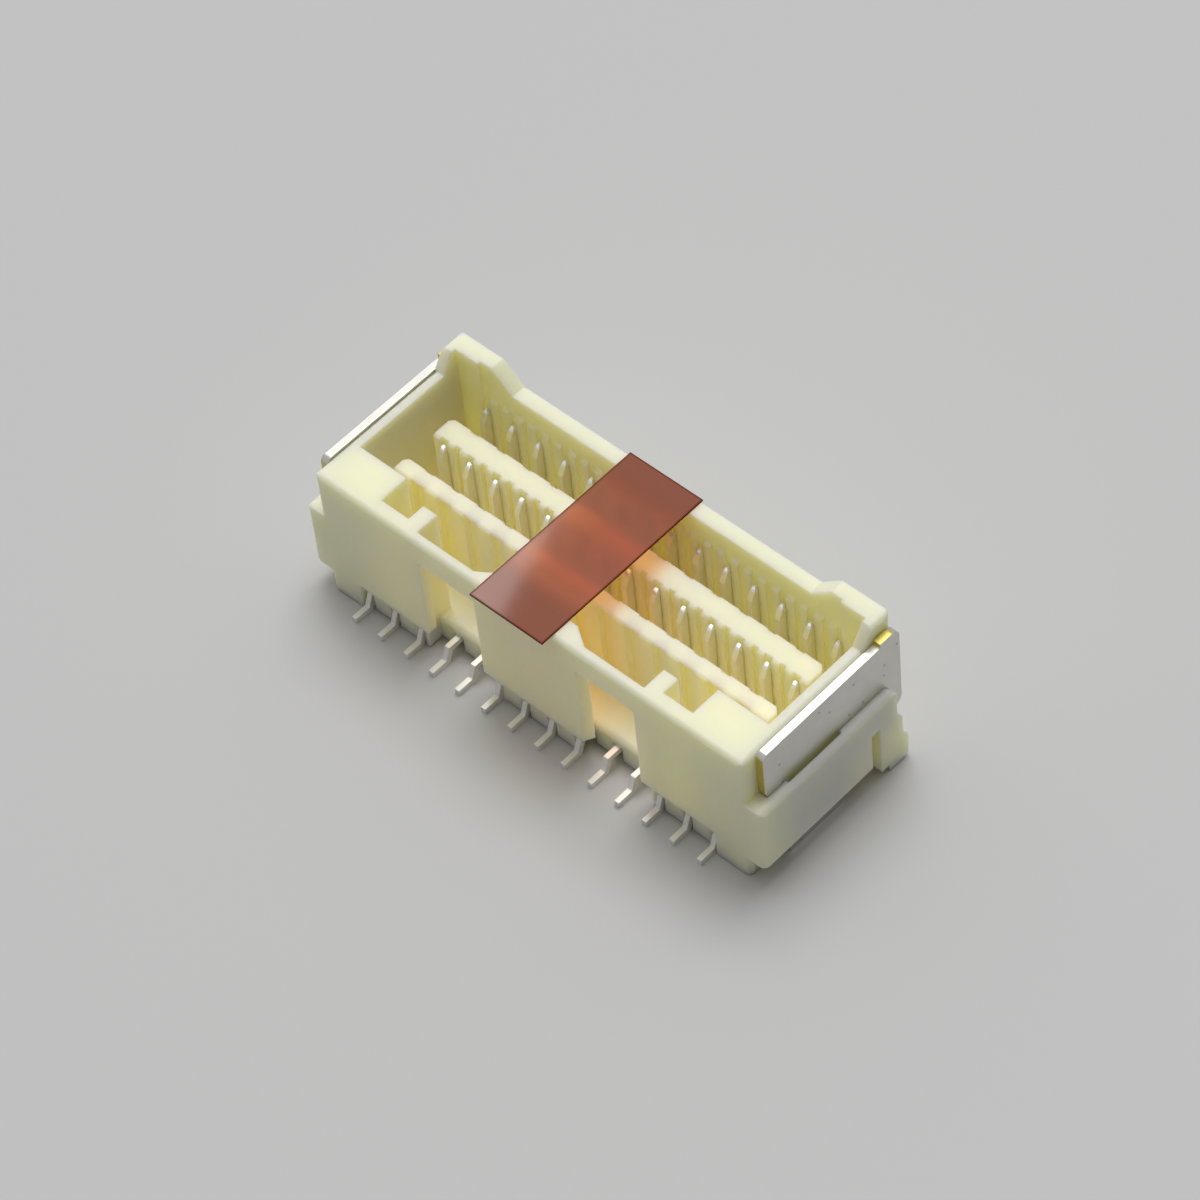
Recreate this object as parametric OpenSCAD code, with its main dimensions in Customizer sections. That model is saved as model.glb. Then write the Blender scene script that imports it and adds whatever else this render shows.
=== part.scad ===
// Dual-row board wafer: a moulded housing with lock windows, two rows of blanked
// contacts, a solder nail at each end and a pick-up film across the walls.
// X runs along the rows, Y from the front wall to the back wall, Z up from the board.

/* [Contacts] */
// Contacts in each row
circuits = 14; // [13:1:24]
// Distance between neighbouring contacts of a row
pitch = 1; // [0.9:0.05:1.25]
// Distance between the two rows
row_gap = 1.76; // [1.6:0.02:2.1]
// Thickness of the strip that the contacts are blanked from
strip_t = 0.17; // [0.14:0.01:0.26]
// Depth of a blade, front to back
blade_d = 0.3; // [0.24:0.02:0.36]
// How far the blade tips stay below the rib tops
tip_drop = 0.2; // [0:0.05:0.5]
// Height of the slanted lead-in on a blade's front edge
tip_h = 0.43; // [0.2:0.01:0.7]
// Flat left at the tip, front to back
tip_flat = 0.07; // [0.04:0.01:0.12]
// Thickness left at the coined tip
tip_t = 0.1; // [0.06:0.01:0.13]
// Height over which the tip is coined
coin_h = 0.16; // [0.08:0.01:0.3]
// Height of the contact arms' upper edge above the board
arm_top = 0.63; // [0.55:0.01:0.72]
// Height of the arm and of the foot, as blanked
tail_h = 0.2; // [0.14:0.01:0.26]
// How far inside the housing's face an arm turns down
bend_in = 0.16; // [0.1:0.01:0.24]
// Run of the slanted stretch between arm and foot
bend_run = 0.16; // [0.08:0.01:0.24]
// How far the feet stand out from the housing's face
foot_out = 0.54; // [0.35:0.01:0.9]

/* [Housing] */
// Depth of the housing, front to back
body_d = 6; // [5.6:0.1:7]
// Height of the walls above the board
body_h = 5; // [4.5:0.1:6.5]
// Room between the last contact's centre and the end wall
end_room = 1; // [0.9:0.05:1.4]
// Thickness of the end walls
end_wall = 0.35; // [0.3:0.01:0.5]
// Thickness of the back wall
back_wall = 0.52; // [0.45:0.01:0.8]
// Thickness of the front wall at the pockets
front_wall = 0.5; // [0.4:0.01:0.6]
// Height of the floor's top above the board
floor_top = 1; // [0.9:0.05:1.3]
// Clear height under the base
stand_off = 0.1; // [0.06:0.01:0.2]
// Clear height under the corner feet
foot_clear = 0.03; // [0.01:0.01:0.05]
// Depth of the corner feet
corner_foot_d = 0.9; // [0.6:0.1:1.4]
// Radius of the upright corners
corner_r = 0.2; // [0.08:0.02:0.3]
// Radius along the outer top edges of the front and end walls
top_r = 0.16; // [0.06:0.02:0.24]
// Radius along the back wall's outer top edge
back_top_r = 0.08; // [0.04:0.02:0.16]
// Clearance around each blade, arm and nail
fit = 0.02; // [0.01:0.01:0.04]

/* [Ribs] */
// How far the rib tops lie below the wall tops
rib_drop = 0.95; // [0.6:0.05:1.6]
// Thickness of the front rib
front_rib_t = 0.53; // [0.45:0.01:0.65]
// Thickness of the rear rib
rear_rib_t = 0.78; // [0.6:0.01:0.9]
// Gap between the front row's blades and the front rib
front_gap = 0.77; // [0.6:0.01:0.9]
// How far the front row's blades sit into the rear rib
blade_lap = 0.02; // [0:0.01:0.04]
// Gap between the back row's blades and the back wall
wall_gap = 0.07; // [0.05:0.01:0.12]
// Gap between a rib's end and the end wall
rib_end_gap = 0.6; // [0.5:0.05:0.8]
// Chamfer on the ribs' rear end corners
rib_chamfer = 0.15; // [0.05:0.01:0.2]
// Rounding along the ribs' front top edges
rib_front_r = 0.12; // [0.04:0.01:0.15]
// Rounding along the ribs' rear top edges
rib_rear_r = 0.04; // [0.02:0.01:0.1]
// Width of the grooves down the front rib's face, midway between contacts
front_groove_w = 0.5; // [0.3:0.02:0.6]
// Depth of those grooves
front_groove_d = 0.2; // [0.1:0.01:0.24]
// How far those grooves stay below the rib's top
groove_drop = 0.07; // [0.03:0.01:0.3]
// Depth of the slots behind the blades
blade_slot_d = 0.1; // [0.08:0.01:0.16]
// Clearance on each side of a blade in its slot
blade_play = 0.05; // [0.04:0.01:0.08]
// Width of the grooves midway between those slots
mid_groove_w = 0.2; // [0.12:0.02:0.3]
// Depth of those grooves
mid_groove_d = 0.12; // [0.06:0.01:0.2]
// Width of the shallow notches down the ribs' rear faces
notch_w = 0.3; // [0.2:0.02:0.5]
// Depth of those notches
notch_d = 0.05; // [0.03:0.01:0.08]
// How far the lobes beside the back row's blades stand in from the back wall
lobe_d = 0.1; // [0.08:0.01:0.14]
// How far the lobes' tops lie below the wall top
lobe_drop = 0.69; // [0.5:0.01:1]

/* [Front wall] */
// Length of the corner blocks
block_l = 1.78; // [1.4:0.02:2]
// Depth of the corner blocks from the front face
block_d = 1.5; // [1.2:0.05:1.7]
// Width of the pockets between block and post
pocket_w = 1.04; // [0.8:0.02:1.2]
// Width of the guide posts
post_w = 0.51; // [0.4:0.01:0.6]
// How far the posts stand in from the wall
post_d = 0.58; // [0.4:0.02:0.7]
// Wall left between post and window
post_gap = 0.19; // [0.1:0.01:0.3]
// Width of the lock windows
window_w = 2.11; // [1.8:0.01:2.3]
// Thickness of the lock bars over the windows
bar_t = 0.3; // [0.25:0.01:0.38]
// Height of the lock bars
bar_h = 0.9; // [0.7:0.05:1.2]
// How far the base is set back in the windows
window_set = 0.65; // [0.55:0.01:0.75]
// Rounding of the floor's edge in the windows
window_edge_r = 0.2; // [0.1:0.02:0.3]
// How far the middle wall widens behind the front face
mid_flare = 0.17; // [0.08:0.01:0.25]
// How far it narrows again to its rear face
mid_taper = 0.62; // [0.4:0.02:0.65]
// Depth of the middle wall
mid_d = 0.7; // [0.6:0.02:0.9]

/* [Skirt] */
// Width of the slots that the tails leave through
slot_w = 0.35; // [0.3:0.01:0.45]
// Height of the set-back skirt's upper edge above the board
skirt_top = 1; // [0.9:0.02:1.2]
// How far the skirt is set back from the faces
skirt_set = 0.15; // [0.08:0.01:0.2]
// How far the skirt ends short of a window
skirt_gap = 0.22; // [0.1:0.01:0.3]

/* [Raised back corners] */
// Height of the raised corners above the walls
raise_h = 0.65; // [0.4:0.05:0.9]
// Length of a raised corner along the back wall
raise_l = 1.62; // [1.2:0.02:2.2]
// Run of its ramp along the back wall
raise_ramp = 0.75; // [0.3:0.05:0.8]
// Depth of a raised corner along the end wall
raise_d = 0.75; // [0.7:0.05:1]
// Run of its ramp along the end wall
raise_d_ramp = 0.42; // [0.1:0.02:0.5]

/* [End flanges and nails] */
// Thickness of the flanges that hold the nails
flange_t = 0.3; // [0.24:0.01:0.4]
// Height of the flanges' top above the board
flange_top = 3.25; // [2.9:0.05:3.4]
// Rounding along the flanges' outer top edge
flange_r = 0.2; // [0.06:0.02:0.22]
// Height of the flanges' lower edge above the board
flange_low = 0.85; // [0.5:0.05:1]
// How far the flanges' rear edge stays inside the back face
flange_back = 0.55; // [0.4:0.05:0.6]
// How far the rear legs' feet stay inside the back face
leg_back = 0.14; // [0.08:0.02:0.3]
// How far the legs' middle stretch stays inside the back face
leg_mid_back = 0.35; // [0.32:0.01:0.38]
// Depth of the rear legs at the flange
leg_d = 0.7; // [0.5:0.02:0.8]
// Height of the legs' middle stretch above the board
leg_mid_top = 1.9; // [1.7:0.05:2.1]
// Height of the legs' widened foot above the board
leg_foot_h = 0.95; // [0.7:0.05:1.1]
// Rise of the slopes above the foot and above the middle stretch
leg_rise = 0.3; // [0.1:0.02:0.4]
// Height of the toe in front of the foot above the board
leg_toe_h = 0.31; // [0.2:0.01:0.45]
// Depth of the toe
leg_toe_d = 0.34; // [0.2:0.02:0.38]
// Width of the notch in front of a rear leg
leg_notch_w = 0.36; // [0.25:0.01:0.45]
// Height of that notch's top above the board
leg_notch_top = 2.25; // [1.9:0.05:2.4]
// Depth of the relief inside the flange, beside the nail's tongue
relief_d = 0.1; // [0.05:0.01:0.14]
// Thickness of the nails
nail_t = 0.25; // [0.2:0.01:0.3]
// Distance from the front face to a nail's front edge
nail_front = 0.54; // [0.5:0.01:0.8]
// Distance from the back face to a nail's rear edge
nail_back = 0; // [0:0.01:0.2]
// Height of a nail's rear lower edge above the board
nail_low = 2; // [1.9:0.05:2.6]
// How far a nail's front shoulder lies below the flange's top
shoulder_drop = 0.2; // [0.02:0.02:0.24]
// Rounding of the shoulder
shoulder_r = 0.48; // [0.2:0.02:0.5]
// Rounding of a nail's front top corner
nail_top_r = 0.22; // [0.1:0.02:0.3]
// Rounding of a nail's rear corners
nail_r = 0.3; // [0.1:0.01:0.4]
// Height of the raised rear part of a nail's top
nail_step = 0.14; // [0.08:0.01:0.25]
// Depth of that raised part
nail_step_d = 0.76; // [0.6:0.02:1.2]
// Distance from a nail's front edge to its tongue
tongue_front = 0.8; // [0.54:0.02:0.9]
// Width of the tongue that reaches the board
tongue_w = 2.1; // [1.8:0.05:2.9]

/* [Pick-up film] */
// Width of the film along the rows
film_w = 2.67; // [2:0.05:4]
// Thickness of the film
film_t = 0.05; // [0.03:0.01:0.1]
// How far the film stands over the front face
film_front = 0.37; // [0:0.05:0.6]
// How far the film stands over the back face
film_back = 0.04; // [0:0.02:0.3]
// How far the film sits to the left of the middle
film_shift = 0.22; // [0:0.02:0.6]

/* [Hidden] */
$fn = 48;
// Overshoot of cuts past open faces, and overlap of joined bodies
over = 0.1;
ivory = "#E9E6CC";
tin = "#C9C8C4";
amber = "#96604E";

row_half = (circuits - 1) / 2 * pitch;
inner_half = row_half + end_room;
outer_half = inner_half + end_wall;
front_y = -body_d / 2;
back_y = body_d / 2;
raised_top = body_h + raise_h;
// Inner face of the back wall, the lobes on it, and the two rows in front of it
wall_face = back_y - back_wall;
lobe_face = wall_face - lobe_d;
back_row = wall_face - wall_gap - blade_d / 2;
front_row = back_row - row_gap;
// Rear rib behind the front row, front rib ahead of it
rear_rib_y = front_row + blade_d / 2 - blade_lap;
front_rib_y = front_row - blade_d / 2 - front_gap - front_rib_t;
rib_half = inner_half - rib_end_gap;
rib_top = body_h - rib_drop;
blade_top = rib_top - tip_drop;
// Front wall, from the ends inwards
block_x = inner_half - block_l;
post_x = block_x - pocket_w - post_w;
window_out = post_x - post_gap;
window_in = window_out - window_w;
window_top = body_h - bar_h;
// Roof of the grooves under the base, and the skirt's length
groove_top = arm_top + fit;
skirt_half = row_half + slot_w / 2;
// Slot between end wall and flange, and the flange outside it
nail_x = outer_half + fit;
flange_x = nail_x + nail_t + fit;
flange_out = flange_x + flange_t;
flange_rear = back_y - flange_back;
leg_y = flange_rear - leg_d;
nail_y0 = front_y + nail_front;
nail_y1 = back_y - nail_back;
tongue_y = nail_y0 + tongue_front;
shoulder_z = flange_top - shoulder_drop;
// Where the shoulder's rounding dips below the flange's top
shoulder_y = nail_y0 + shoulder_r - sqrt(shoulder_drop * (2 * shoulder_r - shoulder_drop));
// Half the width of the slots behind the blades
blade_slot = strip_t / 2 + blade_play;

function contact_x(i) = (i - 1) * pitch - row_half;
function two_digits(i) = str(i < 10 ? "0" : "", i);
function front_name(i) = str("terminal_front_", two_digits(i));
function back_name(i) = str("terminal_back_", two_digits(i));

// Rectangle between two corners, with the same radius at all four
module rounded(x0, y0, x1, y1, r) {
    translate([x0 + r, y0]) square([x1 - x0 - 2 * r, y1 - y0]);
    translate([x0, y0 + r]) square([x1 - x0, y1 - y0 - 2 * r]);
    for (x = [x0 + r, x1 - r], y = [y0 + r, y1 - r]) translate([x, y]) circle(r);
}

// Plain rectangle between two corners
module rect(x0, y0, x1, y1) {
    translate([x0, y0]) square([x1 - x0, y1 - y0]);
}

// Outline in Y and Z, drawn out along X from x0 to x1
module along_x(x0, x1) {
    translate([x0, 0, 0]) rotate([90, 0, 90]) linear_extrude(x1 - x0) children();
}

// Outline in X and Z, drawn out along Y from y0 to y1
module along_y(y0, y1) {
    translate([0, y1, 0]) rotate([90, 0, 0]) linear_extrude(y1 - y0) children();
}

// Outline in X and Y, drawn out along Z from z0 to z1
module along_z(z0, z1) {
    translate([0, 0, z0]) linear_extrude(z1 - z0) children();
}

// The same shape at both ends
module both_ends() {
    children();
    mirror([1, 0, 0]) children();
}

// The same shape at each contact of a row
module at_contacts() {
    for (i = [1:circuits]) translate([contact_x(i), 0, 0]) children();
}

// The same shape midway between each two neighbouring contacts
module between_contacts() {
    for (i = [1:circuits - 1]) translate([contact_x(i) + pitch / 2, 0, 0]) children();
}

// What is cut from a square corner at the origin to round it, the solid towards -X and -Y
module corner_cut(r) {
    difference() {
        translate([-r, -r]) square(r + over);
        translate([-r, -r]) circle(r);
    }
}

module body_plan() {
    rounded(-outer_half, front_y, outer_half, back_y, corner_r);
}

// Wall tops as seen from the front: level, with a ramp up to each raised corner
module front_view() {
    ramp_top = outer_half - raise_l;
    difference() {
        polygon([
            [-outer_half, 0],
            [outer_half, 0],
            [outer_half, raised_top],
            [ramp_top, raised_top],
            [ramp_top - raise_ramp, body_h],
            [raise_ramp - ramp_top, body_h],
            [-ramp_top, raised_top],
            [-outer_half, raised_top]
        ]);
        both_ends() translate([outer_half, raised_top]) corner_cut(top_r);
    }
}

// Wall tops as seen from the end: level, with a ramp up to the raised back
module side_view() {
    ramp_top = back_y - raise_d;
    difference() {
        polygon([
            [front_y, 0],
            [back_y, 0],
            [back_y, raised_top],
            [ramp_top, raised_top],
            [ramp_top - raise_d_ramp, body_h],
            [front_y, body_h]
        ]);
        translate([front_y, body_h]) mirror([1, 0]) corner_cut(top_r);
        translate([back_y, raised_top]) corner_cut(back_top_r);
    }
}

// Outside of the housing, with the level stretches of the back and end walls rounded too
module outer_body() {
    level_half = outer_half - raise_l - raise_ramp;
    level_y = back_y - raise_d - raise_d_ramp;
    difference() {
        intersection() {
            along_z(stand_off, raised_top + over) body_plan();
            along_y(front_y - over, back_y + over) front_view();
            along_x(-outer_half - over, outer_half + over) side_view();
        }
        along_x(-level_half, level_half) translate([back_y, body_h]) corner_cut(back_top_r);
        both_ends() along_y(front_y - over, level_y) translate([outer_half, body_h]) corner_cut(top_r);
    }
}

// Middle wall between the windows: wider behind its face, then tapering inwards
module middle_plan() {
    half = window_in + mid_flare;
    rear_half = half - mid_taper;
    polygon([
        [-window_in, front_y],
        [window_in, front_y],
        [half, front_y + bar_t],
        [rear_half, front_y + mid_d],
        [-rear_half, front_y + mid_d],
        [-half, front_y + bar_t]
    ]);
}

// Slots behind the blades and grooves midway between them, cut into the face at y
module comb(y, slot_d, groove_d) {
    at_contacts() rect(-blade_slot, y - over, blade_slot, y + slot_d);
    between_contacts() rect(-mid_groove_w / 2, y - over, mid_groove_w / 2, y + groove_d);
}

// Inside of the walls, with the corner blocks, pockets, posts, middle wall and back corners left standing
module cavity_plan() {
    difference() {
        rect(-inner_half, front_y + bar_t, inner_half, wall_face);
        middle_plan();
        both_ends() {
            rect(post_x, front_y, inner_half + over, front_y + front_wall);
            rect(post_x, front_y, post_x + post_w, front_y + front_wall + post_d);
            rect(block_x, front_y, inner_half + over, front_y + block_d);
            rect(row_half + blade_slot, lobe_face, inner_half + over, back_y);
        }
    }
}

module window_plan() {
    difference() {
        rect(window_in, front_y - over, window_out, front_y + window_set);
        middle_plan();
    }
}

// Lock window, its rounded floor edge, and the skirt cut away on both sides of it
module window_cut() {
    along_z(-over, window_top) window_plan();
    along_z(-over, skirt_top)
        rect(window_in - skirt_gap, front_y - over, window_out + skirt_gap, front_y + window_set);
    along_x(window_in - skirt_gap, window_out) {
        translate([front_y + window_set, floor_top]) mirror([1, 0]) corner_cut(window_edge_r);
    }
}

// Plan of a rib: rear end corners chamfered, shallow notches down the rear face
module rib_plan(y, t) {
    difference() {
        polygon([
            [-rib_half, y],
            [rib_half, y],
            [rib_half, y + t - rib_chamfer],
            [rib_half - rib_chamfer, y + t],
            [rib_chamfer - rib_half, y + t],
            [-rib_half, y + t - rib_chamfer]
        ]);
        between_contacts() rect(-notch_w / 2, y + t - notch_d, notch_w / 2, y + t + over);
    }
}

// Rib standing on the floor, its top edges rounded
module rib(y, t) {
    intersection() {
        along_z(floor_top - over, rib_top) rib_plan(y, t);
        along_x(-rib_half - over, rib_half + over) difference() {
            rect(y, 0, y + t, rib_top);
            translate([y, rib_top]) mirror([1, 0]) corner_cut(rib_front_r);
            translate([y + t, rib_top]) corner_cut(rib_rear_r);
        }
    }
}

// Front rib, with wide grooves down its face that end below its top
module front_rib() {
    difference() {
        rib(front_rib_y, front_rib_t);
        along_z(floor_top, rib_top - groove_drop) between_contacts()
            rect(-front_groove_w / 2, front_rib_y - over, front_groove_w / 2, front_rib_y + front_groove_d);
    }
}

// Rear rib, with the comb for the front row's blades in its face
module rear_rib() {
    difference() {
        rib(rear_rib_y, rear_rib_t);
        along_z(floor_top, rib_top + over) comb(rear_rib_y, blade_slot_d, mid_groove_d);
    }
}

// Lobes on the back wall beside the back row's blades, their tops sloping up to the wall
module wall_lobes() {
    half = row_half + blade_slot + over;
    lobe_top = body_h - lobe_drop;
    difference() {
        along_x(-half, half) polygon([
            [lobe_face, floor_top - over],
            [wall_face + over, floor_top - over],
            [wall_face + over, lobe_top],
            [wall_face, lobe_top],
            [lobe_face, lobe_top - lobe_d]
        ]);
        along_z(floor_top, lobe_top + over) comb(lobe_face, lobe_d, lobe_d);
    }
}

// Side view of a flange: level wall, notch, and a rear leg that widens in two steps to its foot,
// with a toe in front of the foot
module flange_view() {
    leg_rear = back_y - leg_back;
    leg_mid = back_y - leg_mid_back;
    toe_y = leg_y + leg_toe_d;
    corner = flange_t / 2;
    polygon([
        [front_y, flange_low],
        [leg_y - leg_notch_w, flange_low],
        [leg_y - leg_notch_w, leg_notch_top],
        [leg_y, leg_notch_top],
        [leg_y, leg_toe_h],
        [toe_y, leg_toe_h],
        [toe_y, foot_clear],
        [leg_rear - corner, foot_clear],
        [leg_rear, foot_clear + corner],
        [leg_rear, leg_foot_h],
        [leg_mid, leg_foot_h + leg_rise],
        [leg_mid, leg_mid_top],
        [flange_rear, leg_mid_top + leg_rise],
        [flange_rear, flange_top - corner],
        [flange_rear - corner, flange_top],
        [front_y, flange_top]
    ]);
}

// Flange at the right end, joined to the corner in front of the nail and to the end wall below it
module flange() {
    root_x = outer_half - 2 * corner_r - over;
    difference() {
        intersection() {
            along_x(outer_half - corner_r, flange_out) flange_view();
            along_z(0, flange_top + over) rounded(root_x, front_y, flange_out, back_y, corner_r);
        }
        along_z(0, flange_top + over) {
            rect(root_x, shoulder_y - fit, flange_x, back_y + over);
            rect(flange_x - over, tongue_y - fit, flange_x + relief_d, tongue_y + tongue_w + fit);
        }
        along_y(front_y - over, back_y) translate([flange_out, flange_top]) corner_cut(flange_r);
    }
    intersection() {
        along_x(outer_half - over, flange_x + over) flange_view();
        along_z(0, nail_low - fit) rect(outer_half - over, leg_y, flange_x + over, back_y);
    }
}

// Corner feet under the front and the back
module corner_feet() {
    along_z(foot_clear, stand_off + over) intersection() {
        body_plan();
        both_ends() for (y = [front_y, back_y - corner_foot_d])
            rect(skirt_half, y, outer_half + over, y + corner_foot_d);
    }
}

// Groove under the base for one contact's arm, and the hole that its blade stands in
module contact_cut(row, face) {
    inner_y = row - sign(face) * (blade_d / 2 + fit);
    outer_y = face + sign(face) * over;
    along_z(-over, groove_top)
        rect(-slot_w / 2, min(inner_y, outer_y), slot_w / 2, max(inner_y, outer_y));
    along_z(groove_top - over, floor_top + over)
        rect(-strip_t / 2 - fit, row - blade_d / 2 - fit, strip_t / 2 + fit, row + blade_d / 2 + fit);
}

// Set-back of the skirt along the front and the back
module skirt_cut() {
    along_z(-over, skirt_top) {
        rect(-skirt_half, front_y - over, skirt_half, front_y + skirt_set);
        rect(-skirt_half, back_y - skirt_set, skirt_half, back_y + over);
    }
}

module housing() {
    color(ivory) difference() {
        union() {
            difference() {
                outer_body();
                along_z(floor_top, raised_top + over) cavity_plan();
                both_ends() window_cut();
            }
            front_rib();
            rear_rib();
            wall_lobes();
            both_ends() flange();
            corner_feet();
        }
        skirt_cut();
        at_contacts() {
            contact_cut(front_row, front_y);
            contact_cut(back_row, back_y);
        }
    }
}

// Side view of a contact: foot, slanted stretch and arm from the face to the row, then the blade,
// whose front edge slants back to the tip
module contact_view(row, face) {
    drop = arm_top - tail_h;
    slant = bend_run / drop;
    // Width of the slanted stretch measured level, for the same strip height square to it
    level_w = tail_h * sqrt(1 + slant * slant);
    bend = abs(face - row) - bend_in;
    foot = abs(face - row) + foot_out;
    tail = [
        [blade_d / 2, arm_top],
        [bend, arm_top],
        [bend + bend_run, tail_h],
        [foot, tail_h],
        [foot, 0],
        [bend - level_w + slant * arm_top, 0],
        [bend - level_w + slant * tail_h, drop],
        [-blade_d / 2, drop]
    ];
    tip = [
        [row - blade_d / 2, blade_top - tip_h],
        [row + blade_d / 2 - tip_flat, blade_top],
        [row + blade_d / 2, blade_top]
    ];
    order = face < 0 ? [2, 1, 0] : [0, 1, 2];
    polygon(concat([for (p = tail) [row + sign(face) * p.x, p.y]], [for (k = order) tip[k]]));
}

// One contact, blanked from strip, its tip coined thinner
module contact(row, face) {
    t = strip_t / 2;
    color(tin) intersection() {
        along_x(-t, t) contact_view(row, face);
        along_y(front_y - foot_out - over, back_y + foot_out + over)
            polygon([
                [-t, 0],
                [t, 0],
                [t, blade_top - coin_h],
                [tip_t / 2, blade_top],
                [-tip_t / 2, blade_top],
                [-t, blade_top - coin_h]
            ]);
    }
}

module terminal_front(i) {
    translate([contact_x(i), 0, 0]) contact(front_row, front_y);
}

module terminal_back(i) {
    translate([contact_x(i), 0, 0]) contact(back_row, back_y);
}

// Side view of a nail: plate with rounded front corners, raised rear top and a tongue to the board
module nail_view() {
    step_y = nail_y1 - nail_step_d;
    mid_y = tongue_y + tongue_w - nail_r;
    difference() {
        union() {
            rounded(nail_y0, shoulder_z, mid_y + nail_r, body_h + nail_step + shoulder_r, shoulder_r);
            rounded(mid_y - nail_r, nail_low, nail_y1, body_h + nail_step, nail_r);
        }
        rect(nail_y0 - over, body_h, step_y, body_h + nail_step + shoulder_r + over);
        translate([nail_y0, body_h]) mirror([1, 0]) corner_cut(nail_top_r);
    }
    rect(tongue_y, 0, tongue_y + tongue_w, body_h - shoulder_r);
}

// Solder nail, standing in the slot at the right end
module solder_nail() {
    color(tin) along_x(nail_x, nail_x + nail_t) nail_view();
}

module solder_nail_right() {
    solder_nail();
}

module solder_nail_left() {
    mirror([1, 0, 0]) solder_nail();
}

module pickup_film() {
    color(amber) along_z(body_h, body_h + film_t)
        translate([-film_shift, 0]) rect(-film_w / 2, front_y - film_front, film_w / 2, back_y + film_back);
}

housing();
for (i = [1:circuits]) terminal_front(i);
for (i = [1:circuits]) terminal_back(i);
solder_nail_left();
solder_nail_right();
pickup_film();
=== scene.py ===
import math

import bpy
from mathutils import Matrix, Vector


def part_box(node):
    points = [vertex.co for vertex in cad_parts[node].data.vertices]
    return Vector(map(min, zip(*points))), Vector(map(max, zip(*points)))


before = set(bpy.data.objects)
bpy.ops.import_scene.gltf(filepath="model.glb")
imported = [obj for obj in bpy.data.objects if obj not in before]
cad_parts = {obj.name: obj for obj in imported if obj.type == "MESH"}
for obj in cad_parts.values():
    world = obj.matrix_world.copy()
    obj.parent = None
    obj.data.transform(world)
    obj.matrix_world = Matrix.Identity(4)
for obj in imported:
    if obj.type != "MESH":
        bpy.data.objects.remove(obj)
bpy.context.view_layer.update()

# View: the connector is seen from its front right corner, well above the board,
# through a long lens that is turned a little about its own axis.
MM = 0.001
AZIMUTH = math.radians(47.838)
ELEVATION = math.radians(51.247)
ROLL = math.radians(-6.645)
CAMERA_PLACE = Vector((61.883, -56.151, 106.870)) * MM
LENS_MM = 146.72
SENSOR_MM = 36
NEAREST_SEEN = 10 * MM

lens = bpy.data.cameras.new("camera")
lens.lens = LENS_MM
lens.sensor_width = SENSOR_MM
lens.clip_start = NEAREST_SEEN
camera = bpy.data.objects.new("camera", lens)
bpy.context.scene.collection.objects.link(camera)
bpy.context.scene.camera = camera
back = Vector(
    (
        math.sin(AZIMUTH) * math.cos(ELEVATION),
        -math.cos(AZIMUTH) * math.cos(ELEVATION),
        math.sin(ELEVATION),
    )
)
level = Vector((math.cos(AZIMUTH), math.sin(AZIMUTH), 0))
right = level * math.cos(ROLL) + back.cross(level) * math.sin(ROLL)
turn = Matrix((right, back.cross(right), back)).transposed().to_4x4()
camera.matrix_world = Matrix.Translation(CAMERA_PLACE) @ turn


# Housing: one injection moulding in ivory high-temperature nylon. Its walls are thin, so light
# soaks a little way into them, and its edges come out of the mould slightly round.
EDGE_ROUND = 0.06 * MM
EDGE_SAMPLES = 6
FLOW_SIZE = 2.4 * MM
GRAIN_SIZE = 0.09 * MM
GRAIN_DEPTH = 0.01 * MM
SOAK_DEPTH = 0.8 * MM
SOAK_BY_COLOUR = (1.0, 0.97, 0.55)
IVORY_DEEP = "#FDF7CD"
IVORY_PALE = "#FFFAD7"
IVORY_ROUGH = (0.42, 0.58)


def linear(hex_colour):
    """Linear RGBA of an sRGB hex colour: each channel is undone by the sRGB curve."""
    parts = [int(hex_colour[i : i + 2], 16) / 255 for i in (1, 3, 5)]
    return (
        *[c / 12.92 if c <= 0.04045 else ((c + 0.055) / 1.055) ** 2.4 for c in parts],
        1,
    )


def empty_material(name):
    """A new material, and its node tree with nothing in it."""
    material = bpy.data.materials.new(name)
    material.use_nodes = True
    material.node_tree.nodes.clear()
    return material, material.node_tree


def node(tree, kind, inputs, **settings):
    """Adds a node with its settings; an input takes a value, or a link from another's socket."""
    made = tree.nodes.new(kind)
    for name, value in settings.items():
        setattr(made, name, value)
    for name, value in inputs.items():
        if isinstance(value, bpy.types.NodeSocket):
            tree.links.new(value, made.inputs[name])
        else:
            made.inputs[name].default_value = value
    return made


# Ivory nylon, moulded against a fine spark-eroded tool: a soft gloss over a faint grain, with slow
# clouds in the colour where the melt flowed. The grain is drawn coarser than it is, to show at all.
ivory, tree = empty_material("moulded_ivory_nylon")
spot = node(tree, "ShaderNodeTexCoord", {}).outputs["Object"]
flow = node(
    tree, "ShaderNodeTexNoise", {"Vector": spot, "Scale": 1 / FLOW_SIZE, "Detail": 3.0}
)
grain = node(
    tree, "ShaderNodeTexNoise", {"Vector": spot, "Scale": 1 / GRAIN_SIZE, "Detail": 2.0}
)
body_colour = node(
    tree,
    "ShaderNodeMix",
    {0: flow.outputs["Fac"], 6: linear(IVORY_DEEP), 7: linear(IVORY_PALE)},
    data_type="RGBA",
)
gloss = node(
    tree,
    "ShaderNodeMapRange",
    {"Value": grain.outputs["Fac"], "To Min": IVORY_ROUGH[0], "To Max": IVORY_ROUGH[1]},
)
soft_edge = node(tree, "ShaderNodeBevel", {"Radius": EDGE_ROUND}, samples=EDGE_SAMPLES)
skin = node(
    tree,
    "ShaderNodeBump",
    {
        "Strength": 0.25,
        "Distance": GRAIN_DEPTH,
        "Height": grain.outputs["Fac"],
        "Normal": soft_edge.outputs["Normal"],
    },
)
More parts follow.
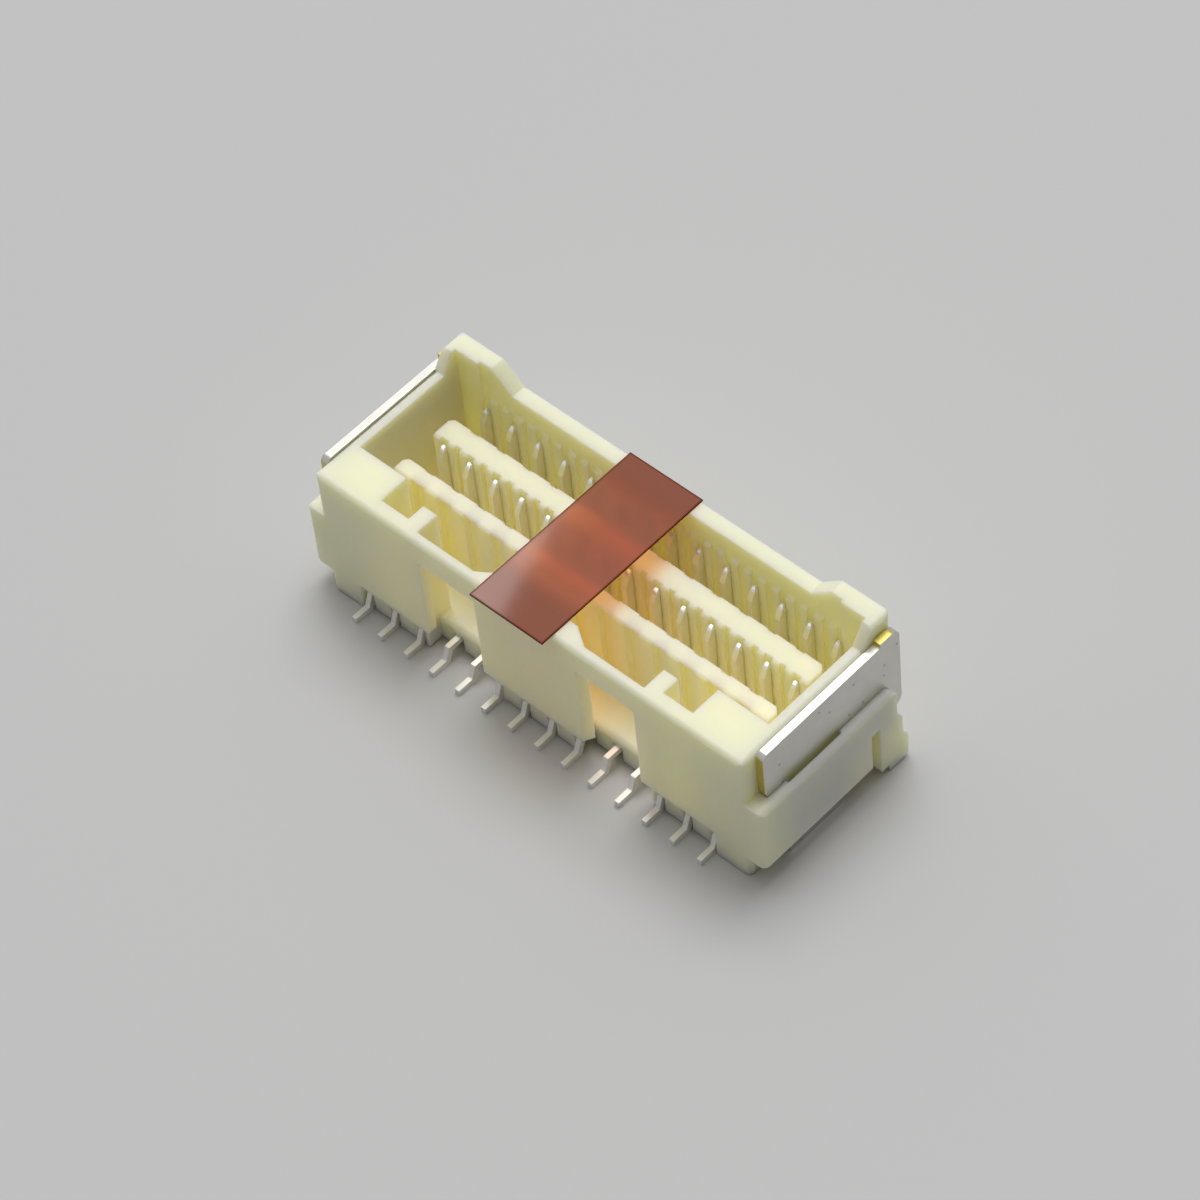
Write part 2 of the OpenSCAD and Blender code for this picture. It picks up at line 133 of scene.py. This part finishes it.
nylon = node(
    tree,
    "ShaderNodeBsdfPrincipled",
    {
        "Base Color": body_colour.outputs[2],
        "Roughness": gloss.outputs["Result"],
        "IOR": 1.53,
        "Subsurface Weight": 1.0,
        "Subsurface Radius": SOAK_BY_COLOUR,
        "Subsurface Scale": SOAK_DEPTH,
        "Normal": skin.outputs["Normal"],
    },
)
node(tree, "ShaderNodeOutputMaterial", {"Surface": nylon.outputs["BSDF"]})
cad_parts["housing"].material_slots[0].material = ivory


# Contacts: two rows of fourteen, blanked from copper-alloy strip and tin plated, pushed up
# through the floor. Their tips are coined and their feet lie flat for soldering.
PER_ROW = 14
DRAW_SIZE = 0.05 * MM
DRAW_DEPTH = 0.001 * MM
DRAW_SPREAD = (0.3, 0.7)
TIN_PATCH = 0.6 * MM
MATT_TOP = 0.5 * MM
GLOSS_FROM = 1.2 * MM
MIRROR_FOOT = 0.3
MIRROR_BLADE = 0.6
MIRROR_TIP = 0.8
COIN_SLOPE = 0.3
NOSE_RUN = 0.16 * MM
NOSE_DROP = 0.12 * MM


def plated(name, bright, dull, rough, streak, edge):
    """Tin on rolled strip: a pale metal that dulls in patches, with fine streaks in its gloss.

    The streaks are noise, stretched by the streak factors, that takes the roughness from the first
    rough value to the second. Real ones are finer, and these are as coarse as they need to be to
    show. Edges are rounded by the edge radius.
    """
    metal, tree = empty_material(name)
    spot = node(tree, "ShaderNodeTexCoord", {}).outputs["Object"]
    stretched = node(tree, "ShaderNodeMapping", {"Vector": spot, "Scale": streak})
    streaks = node(
        tree,
        "ShaderNodeTexNoise",
        {"Vector": stretched.outputs["Vector"], "Scale": 1 / DRAW_SIZE, "Detail": 3.0},
    )
    patches = node(
        tree, "ShaderNodeTexNoise", {"Vector": spot, "Scale": 1 / TIN_PATCH, "Detail": 2.0}
    )
    tone = node(
        tree,
        "ShaderNodeMix",
        {0: patches.outputs["Fac"], 6: linear(dull), 7: linear(bright)},
        data_type="RGBA",
    )
    rough_spot = node(
        tree,
        "ShaderNodeMapRange",
        {
            "Value": streaks.outputs["Fac"],
            "From Min": DRAW_SPREAD[0],
            "From Max": DRAW_SPREAD[1],
            "To Min": rough[0],
            "To Max": rough[1],
        },
    )
    soft_edge = node(tree, "ShaderNodeBevel", {"Radius": edge}, samples=EDGE_SAMPLES)
    drawn = node(
        tree,
        "ShaderNodeBump",
        {
            "Strength": 0.1,
            "Distance": DRAW_DEPTH,
            "Height": streaks.outputs["Fac"],
            "Normal": soft_edge.outputs["Normal"],
        },
    )
    shine = node(
        tree,
        "ShaderNodeBsdfPrincipled",
        {
            "Base Color": tone.outputs[2],
            "Metallic": 1.0,
            "Roughness": rough_spot.outputs["Result"],
            "Normal": drawn.outputs["Normal"],
        },
    )
    node(tree, "ShaderNodeOutputMaterial", {"Surface": shine.outputs["BSDF"]})
    return metal, tree, shine


# Matt tin over drawn strip: a pale, soft shine, streaked from foot to tip.
contact_tin, tree, shine = plated(
    "matt_tin_on_strip",
    bright="#FAF9F6",
    dull="#F0EFEB",
    rough=(0.34, 0.46),
    streak=(1, 1, 0.15),
    edge=0.02 * MM,
)
# The blades keep their gloss for the mating contact. The feet are left matt for the solder, so they
# scatter most of the light: the mirror part of the tin grows from the foot up to the blade.
spot = node(tree, "ShaderNodeTexCoord", {}).outputs["Object"]
height = node(tree, "ShaderNodeSeparateXYZ", {"Vector": spot}).outputs["Z"]
mirror_part = node(
    tree,
    "ShaderNodeMapRange",
    {
        "Value": height,
        "From Min": MATT_TOP,
        "From Max": GLOSS_FROM,
        "To Min": MIRROR_FOOT,
        "To Max": MIRROR_BLADE,
    },
)
# Coining burnishes the tip's sloping edge and its end, so these mirror most of the light: they are
# the faces above the feet that lean upwards.
facing = node(tree, "ShaderNodeNewGeometry", {}).outputs["True Normal"]
facing_up = node(tree, "ShaderNodeSeparateXYZ", {"Vector": facing}).outputs["Z"]
leans_up = node(
    tree, "ShaderNodeMath", {0: facing_up, 1: COIN_SLOPE}, operation="GREATER_THAN"
)
above_foot = node(
    tree, "ShaderNodeMath", {0: height, 1: GLOSS_FROM}, operation="GREATER_THAN"
)
coined = node(
    tree,
    "ShaderNodeMath",
    {0: leans_up.outputs[0], 1: above_foot.outputs[0]},
    operation="MULTIPLY",
)
mirror = node(
    tree,
    "ShaderNodeMix",
    {0: coined.outputs[0], 2: mirror_part.outputs["Result"], 3: MIRROR_TIP},
)
tree.links.new(mirror.outputs[0], shine.inputs["Metallic"])
# The last of the tip rounds over to a nose, which gives it a glint: the nose drops by the square
# of the way up to its end.
tip_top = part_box("terminal_back_01")[1][2]
up_nose = node(
    tree,
    "ShaderNodeMapRange",
    {"Value": height, "From Min": tip_top - NOSE_RUN, "From Max": tip_top},
)
nose = node(
    tree, "ShaderNodeMath", {0: up_nose.outputs["Result"], 1: 2.0}, operation="POWER"
)
rounded = node(
    tree,
    "ShaderNodeBump",
    {
        "Distance": NOSE_DROP,
        "Height": nose.outputs[0],
        "Normal": shine.inputs["Normal"].links[0].from_socket,
    },
    invert=True,
)
tree.links.new(rounded.outputs["Normal"], shine.inputs["Normal"])
for row in ("front", "back"):
    for place_in_row in range(1, PER_ROW + 1):
        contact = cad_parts[f"terminal_{row}_{place_in_row:02d}"]
        contact.material_slots[0].material = contact_tin


# Solder nails: a flat plate at each end, blanked from brass strip and tin plated. It drops into
# the slot between the end wall and the flange and is soldered to the board by its tongue.
PIT_SPACING = 0.95 * MM
PIT_SIZE = 0.065 * MM
PIT_GREY = "#8A8782"
# The yellow given to the plate's front end face and to the raised part of its top edge.
YELLOW_FACE_TONE = "#D0C070"
TONGUE_TOP = 1.9 * MM
RAISE_DEPTH = 0.05 * MM
SQUARE_ON = 0.95

# Bright tin over rolled plate: an even grey shine, streaked from front to back.
nail_tin, tree, shine = plated(
    "bright_tin_on_plate",
    bright="#DAD8D2",
    dull="#CCCAC4",
    rough=(0.3, 0.36),
    streak=(1, 0.2, 1),
    edge=0.03 * MM,
)
# The tin has a few pinholes, dark spots round the points of a scattered lattice that is turned into
# the plane of the plate, and they show on its two broad faces only.
spot = node(tree, "ShaderNodeTexCoord", {}).outputs["Object"]
facing = node(tree, "ShaderNodeNewGeometry", {}).outputs["True Normal"]
facing_parts = node(tree, "ShaderNodeSeparateXYZ", {"Vector": facing})
plate_plane = node(
    tree, "ShaderNodeMapping", {"Vector": spot, "Rotation": (0, math.pi / 2, 0)}
)
lattice = node(
    tree,
    "ShaderNodeTexVoronoi",
    {"Vector": plate_plane.outputs["Vector"], "Scale": 1 / PIT_SPACING},
    voronoi_dimensions="2D",
)
pit = node(
    tree,
    "ShaderNodeMapRange",
    {
        "Value": lattice.outputs["Distance"],
        "From Max": PIT_SIZE / PIT_SPACING,
        "To Min": 1.0,
        "To Max": 0.0,
    },
    interpolation_type="SMOOTHSTEP",
)
broad_face = node(
    tree, "ShaderNodeMath", {0: facing_parts.outputs["X"], 1: 2.0}, operation="POWER"
)
face_pit = node(
    tree,
    "ShaderNodeMath",
    {0: pit.outputs["Result"], 1: broad_face.outputs[0]},
    operation="MULTIPLY",
)
pitted = node(
    tree,
    "ShaderNodeMix",
    {
        0: face_pit.outputs[0],
        6: shine.inputs["Base Color"].links[0].from_socket,
        7: linear(PIT_GREY),
    },
    data_type="RGBA",
)
# The plate's front end face above the tongue and the raised part of its top edge are coloured
# yellow.
faces_front = node(
    tree, "ShaderNodeMath", {0: facing_parts.outputs["Y"], 1: -SQUARE_ON}, operation="LESS_THAN"
)
faces_up = node(
    tree, "ShaderNodeMath", {0: facing_parts.outputs["Z"], 1: SQUARE_ON}, operation="GREATER_THAN"
)
height = node(tree, "ShaderNodeSeparateXYZ", {"Vector": spot}).outputs["Z"]
above_tongue = node(
    tree, "ShaderNodeMath", {0: height, 1: TONGUE_TOP}, operation="GREATER_THAN"
)
yellow_front_face = node(
    tree,
    "ShaderNodeMath",
    {0: faces_front.outputs[0], 1: above_tongue.outputs[0]},
    operation="MULTIPLY",
)
nail_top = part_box("solder_nail_right")[1][2]
on_raise = node(
    tree, "ShaderNodeMath", {0: height, 1: nail_top - RAISE_DEPTH}, operation="GREATER_THAN"
)
yellow_top_face = node(
    tree,
    "ShaderNodeMath",
    {0: faces_up.outputs[0], 1: on_raise.outputs[0]},
    operation="MULTIPLY",
)
yellow_faces = node(
    tree,
    "ShaderNodeMath",
    {0: yellow_front_face.outputs[0], 1: yellow_top_face.outputs[0]},
    operation="MAXIMUM",
)
tin_or_yellow = node(
    tree,
    "ShaderNodeMix",
    {0: yellow_faces.outputs[0], 6: pitted.outputs[2], 7: linear(YELLOW_FACE_TONE)},
    data_type="RGBA",
)
tree.links.new(tin_or_yellow.outputs[2], shine.inputs["Base Color"])
for side in ("left", "right"):
    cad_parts[f"solder_nail_{side}"].material_slots[0].material = nail_tin


# Pick-up film: a strip of heat-resistant amber film laid across the front and back walls, so
# that a suction nozzle can lift the connector. It glows orange over what lies close below it.
CLOUD_SIZE = 1.2 * MM
CURL_WAY = (-0.98, -0.2, 0)
CURL_START = 0.1 * MM
CURL_RUN = 2.2 * MM
CURL_RISE = 0.2 * MM
CUT_EDGE = 0.065 * MM
FRONT_BOND = -2.4 * MM
BACK_BOND = 2.4 * MM
BOND_FADE = 0.8 * MM
CLEAREST = 0.9
GLOSS = 0.7
AMBER_DEEP = "#AA5418"
AMBER_PALE = "#C06422"
BOND_AND_SEEN_WALL_BROWN = "#8C503B"
PAINTED_EDGE_BROWN = "#5A1E0E"
LIGHT_BELOW = "#E4C8AC"

# Polyimide, cast as a thin sheet: amber with slow clouds in it, slightly hazy under a glossy face.
film, tree = empty_material("amber_polyimide_film")
spot = node(tree, "ShaderNodeTexCoord", {}).outputs["Object"]
cloud = node(
    tree, "ShaderNodeTexNoise", {"Vector": spot, "Scale": 1 / CLOUD_SIZE, "Detail": 2.0}
)
sheet_colour = node(
    tree,
    "ShaderNodeMix",
    {0: cloud.outputs["Fac"], 6: linear(AMBER_DEEP), 7: linear(AMBER_PALE)},
    data_type="RGBA",
)
# Both ends carry the adhesive that holds the sheet to the walls, and there it is cloudy: the sheet
# is clearest in the middle and turns cloudy over a fading length before each bond. Over each bond
# the brown is partly painted: it stands for the lit ivory wall seen through the amber.
lengthwise = node(tree, "ShaderNodeSeparateXYZ", {"Vector": spot}).outputs["Y"]
clear_of_front = node(
    tree,
    "ShaderNodeMapRange",
    {
        "Value": lengthwise,
        "From Min": FRONT_BOND,
        "From Max": FRONT_BOND + BOND_FADE,
        "To Max": CLEAREST,
    },
    interpolation_type="SMOOTHSTEP",
)
clear_of_back = node(
    tree,
    "ShaderNodeMapRange",
    {
        "Value": lengthwise,
        "From Min": BACK_BOND,
        "From Max": BACK_BOND - BOND_FADE,
        "To Max": CLEAREST,
    },
    interpolation_type="SMOOTHSTEP",
)
clearness = node(
    tree,
    "ShaderNodeMath",
    {0: clear_of_front.outputs["Result"], 1: clear_of_back.outputs["Result"]},
    operation="MINIMUM",
)
# Partly painted: over the bonds the sheet takes a brown that stands for the lit wall below seen
# through it.
bond_and_seen_wall_colour = node(
    tree,
    "ShaderNodeMix",
    {0: clearness.outputs[0], 6: linear(BOND_AND_SEEN_WALL_BROWN), 7: sheet_colour.outputs[2]},
    data_type="RGBA",
)
# The cut edge is painted darker, a painted shade for the darkening seen there as light runs along
# the sheet: how far a point is inside the nearest edge goes from 0 at the edge to 1 at the width of
# the dark line.
film_low, film_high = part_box("pickup_film")
middle = [(low + high) / 2 for low, high in zip(film_low, film_high)]
half = [(high - low) / 2 for low, high in zip(film_low, film_high)]
from_middle = node(tree, "ShaderNodeVectorMath", {0: spot, 1: middle}, operation="SUBTRACT")
reach = node(tree, "ShaderNodeVectorMath", {0: from_middle.outputs[0]}, operation="ABSOLUTE")
inside = node(
    tree, "ShaderNodeVectorMath", {0: half, 1: reach.outputs[0]}, operation="SUBTRACT"
)
across = node(tree, "ShaderNodeSeparateXYZ", {"Vector": inside.outputs[0]})
nearest = node(
    tree,
    "ShaderNodeMath",
    {0: across.outputs["X"], 1: across.outputs["Y"]},
    operation="MINIMUM",
)
clear_of_edge = node(
    tree, "ShaderNodeMapRange", {"Value": nearest.outputs[0], "From Max": CUT_EDGE}
)
# Painted shade: a dark brown line along the cut edge of the sheet.
film_colour = node(
    tree,
    "ShaderNodeMix",
    {0: clear_of_edge.outputs["Result"], 6: linear(PAINTED_EDGE_BROWN), 7: bond_and_seen_wall_colour.outputs[2]},
    data_type="RGBA",
)
# The front left corner curls up a little: the rise grows with the square of the way from the
# slanting line where the curl starts, which turns that corner's gloss towards the lamp.
corner_way = node(
    tree,
    "ShaderNodeVectorMath",
    {0: from_middle.outputs[0], 1: CURL_WAY},
    operation="DOT_PRODUCT",
)
along_curl = node(
    tree,
    "ShaderNodeMapRange",
    {
        "Value": corner_way.outputs["Value"],
        "From Min": CURL_START,
        "From Max": CURL_START + CURL_RUN,
    },
)
curl = node(
    tree, "ShaderNodeMath", {0: along_curl.outputs["Result"], 1: 2.0}, operation="POWER"
)
bent = node(tree, "ShaderNodeBump", {"Distance": CURL_RISE, "Height": curl.outputs[0]})
see_through = node(
    tree,
    "ShaderNodeMath",
    {0: clearness.outputs[0], 1: clear_of_edge.outputs["Result"]},
    operation="MULTIPLY",
)
lacquer = node(
    tree, "ShaderNodeMath", {0: clear_of_edge.outputs["Result"], 1: GLOSS}, operation="MULTIPLY"
)
# The body mirrors little, so that the gloss is the coat's. With a haze under about 0.28 the denoiser
# draws a line where the sheet turns cloudy.
amber = node(
    tree,
    "ShaderNodeBsdfPrincipled",
    {
        "Base Color": film_colour.outputs[2],
        "Roughness": 0.28,
        "IOR": 1.35,
        "Specular IOR Level": 0.05,
        "Transmission Weight": see_through.outputs[0],
        "Coat Weight": lacquer.outputs[0],
        "Coat Roughness": 0.09,
        "Coat Normal": bent.outputs["Normal"],
    },
)
# Light from the lamp passes straight through the sheet and is tinted by it.
passed = node(tree, "ShaderNodeBsdfTransparent", {"Color": linear(LIGHT_BELOW)})
ray = node(tree, "ShaderNodeLightPath", {})
sheet = node(
    tree,
    "ShaderNodeMixShader",
    {0: ray.outputs["Is Shadow Ray"], 1: amber.outputs["BSDF"], 2: passed.outputs["BSDF"]},
)
node(tree, "ShaderNodeOutputMaterial", {"Surface": sheet.outputs["Shader"]})
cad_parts["pickup_film"].material_slots[0].material = film


# Stage: a wide pale grey sheet under the tails, a large soft lamp overhead and behind,
# and a dim even surround.
FLOOR_HALF = 1500 * MM
FLOOR_GREY = "#C2C2C2"
LAMP_PLACE = Vector((-80, 130, 470)) * MM
LAMP_SIDE = 280 * MM
LAMP_WATTS = 1.32
BRIGHT_SIDE = Vector((-0.35, 0.25, 0.9)).normalized()
SURROUND_FADE = (0.1, 0.9)
SURROUND_STRENGTH = (0.02, 0.7)
BACKDROP_GREY = "#C6C6C6"
WALL_BOUNCES = 12
ALL_BOUNCES = 16

floor_mesh = bpy.data.meshes.new("floor")
floor_mesh.from_pydata(
    [
        (-FLOOR_HALF, -FLOOR_HALF, 0),
        (FLOOR_HALF, -FLOOR_HALF, 0),
        (FLOOR_HALF, FLOOR_HALF, 0),
        (-FLOOR_HALF, FLOOR_HALF, 0),
    ],
    [],
    [(0, 1, 2, 3)],
)
floor = bpy.data.objects.new("floor", floor_mesh)
bpy.context.scene.collection.objects.link(floor)
# Uncoated paper: an even pale grey with hardly any shine, on which the soft shadow shows.
paper, tree = empty_material("pale_grey_sheet")
matt = node(
    tree, "ShaderNodeBsdfPrincipled", {"Base Color": linear(FLOOR_GREY), "Roughness": 0.6}
)
node(tree, "ShaderNodeOutputMaterial", {"Surface": matt.outputs["BSDF"]})
floor_mesh.materials.append(paper)

light = bpy.data.lights.new("soft_box", "AREA")
light.size = LAMP_SIDE
light.energy = LAMP_WATTS
soft_box = bpy.data.objects.new("soft_box", light)
soft_box.location = LAMP_PLACE
soft_box.rotation_euler = (-LAMP_PLACE).to_track_quat("-Z", "Y").to_euler()
bpy.context.scene.collection.objects.link(soft_box)

# The surround lights the part dimly, most from the lamp's side. The camera sees a plain pale grey
# there instead, and so do the metal and the film.
surround = bpy.data.worlds.new("surround")
bpy.context.scene.world = surround
surround.use_nodes = True
tree = surround.node_tree
tree.nodes.clear()
ray = node(tree, "ShaderNodeLightPath", {})
towards = node(tree, "ShaderNodeTexCoord", {}).outputs["Generated"]
to_bright_side = node(
    tree, "ShaderNodeVectorMath", {0: towards, 1: BRIGHT_SIDE}, operation="DOT_PRODUCT"
)
fade = node(
    tree,
    "ShaderNodeMapRange",
    {
        "Value": to_bright_side.outputs["Value"],
        "From Min": SURROUND_FADE[0],
        "From Max": SURROUND_FADE[1],
        "To Min": SURROUND_STRENGTH[0],
        "To Max": SURROUND_STRENGTH[1],
    },
    interpolation_type="SMOOTHSTEP",
)
dim = node(
    tree,
    "ShaderNodeBackground",
    {"Color": linear("#FFFFFF"), "Strength": fade.outputs["Result"]},
)
seen = node(tree, "ShaderNodeBackground", {"Color": linear(BACKDROP_GREY)})
mirrored = node(
    tree,
    "ShaderNodeMath",
    {0: ray.outputs["Is Glossy Ray"], 1: ray.outputs["Is Transmission Ray"]},
    operation="MAXIMUM",
)
straight_or_mirrored = node(
    tree,
    "ShaderNodeMath",
    {0: ray.outputs["Is Camera Ray"], 1: mirrored.outputs[0]},
    operation="MAXIMUM",
)
sky = node(
    tree,
    "ShaderNodeMixShader",
    {0: straight_or_mirrored.outputs[0], 1: dim.outputs[0], 2: seen.outputs[0]},
)
node(tree, "ShaderNodeOutputWorld", {"Surface": sky.outputs["Shader"]})

# Light goes back and forth many times between the pale walls of the wells.
bpy.context.scene.cycles.diffuse_bounces = WALL_BOUNCES
bpy.context.scene.cycles.max_bounces = ALL_BOUNCES
bpy.context.scene.view_settings.view_transform = "Standard"
